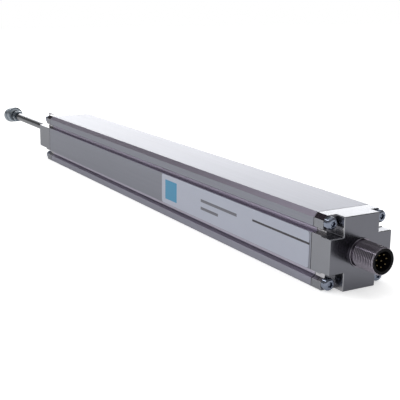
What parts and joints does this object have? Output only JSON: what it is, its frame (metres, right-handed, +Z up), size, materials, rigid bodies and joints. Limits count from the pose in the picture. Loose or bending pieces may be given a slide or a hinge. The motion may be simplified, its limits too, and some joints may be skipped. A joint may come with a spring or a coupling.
{
  "type": "inductive linear position sensor",
  "caption": "Linear position sensor: square aluminium housing with metal end caps, a round threaded connector, and a sliding push rod that ends in a ball coupling.",
  "frame": {"origin": "middle of the housing's flat underside", "axes": "+X along the housing towards the connector, -Y the side with the label, +Z up"},
  "size_m": [0.478, 0.0331, 0.0324],
  "materials": {
    "housing_aluminium": "clear anodised, fine lengthwise extrusion lines",
    "cap_metal": "satin nickel on die-casting",
    "screw_steel": "bright blue zinc",
    "rod_steel": "polished",
    "coupling_steel": "dark blue zinc",
    "connector_nickel": "nickel plated",
    "bush_bronze": "sintered bronze",
    "gasket_rubber": "matt black",
    "plastic_black": "moulded, black",
    "carriage_plastic": "moulded, natural white",
    "board_green": "solder mask",
    "chip_black": "moulded, matt",
    "coil_copper": "copper winding",
    "capacitor_ceramic": "matt",
    "pin_gold": "gold plated",
    "flex_amber": "amber film",
    "label_film": "silvery film with a plain line and fields"
  },
  "bodies": {
    "housing": {"housing_profile": "housing_aluminium", "front_cap": "cap_metal", "rear_cap": "cap_metal", "front_gasket": "gasket_rubber", "rear_gasket": "gasket_rubber", "front_cap_screws": "screw_steel", "rear_cap_screws": "screw_steel", "guide_bush": "bush_bronze", "rod_wiper": "gasket_rubber", "front_buffer": "gasket_rubber", "coil_board": "board_green", "electronics_board": "board_green", "board_chips": "chip_black", "header_strip": "plastic_black", "header_pins": "pin_gold", "connector_shell": "connector_nickel", "connector_insert": "plastic_black", "connector_pins": "pin_gold", "connector_seal": "gasket_rubber", "connector_nut": "connector_nickel", "connector_board": "board_green", "link_flex": "flex_amber", "label": "label_film"},
    "rod": {"push_rod": "rod_steel", "rod_lock_nut": "coupling_steel", "ball_stud": "rod_steel", "carriage": "carriage_plastic", "carriage_washer": "screw_steel", "carriage_nut": "screw_steel", "resonator_board": "board_green", "resonator_coil": "coil_copper", "resonator_capacitor": "capacitor_ceramic"},
    "seat": {"ball_seat": "carriage_plastic"},
    "socket": {"coupling_socket": "coupling_steel", "socket_ring": "coupling_steel"}
  },
  "joints": [
    {"name": "rod_slide", "type": "slide", "parent": "housing", "child": "rod", "axis": [-1, 0, 0], "range_m": [-0.065, 0.16]},
    {"name": "coupling_turn", "type": "hinge", "parent": "rod", "child": "seat", "pos_m": [-0.2858, 0, 0.016], "axis": [1, 0, 0], "continuous": true},
    {"name": "coupling_tilt", "type": "hinge", "parent": "seat", "child": "socket", "pos_m": [-0.2858, 0, 0.016], "axis": [0, 1, 0], "range_deg": [0, 18]}
  ]
}
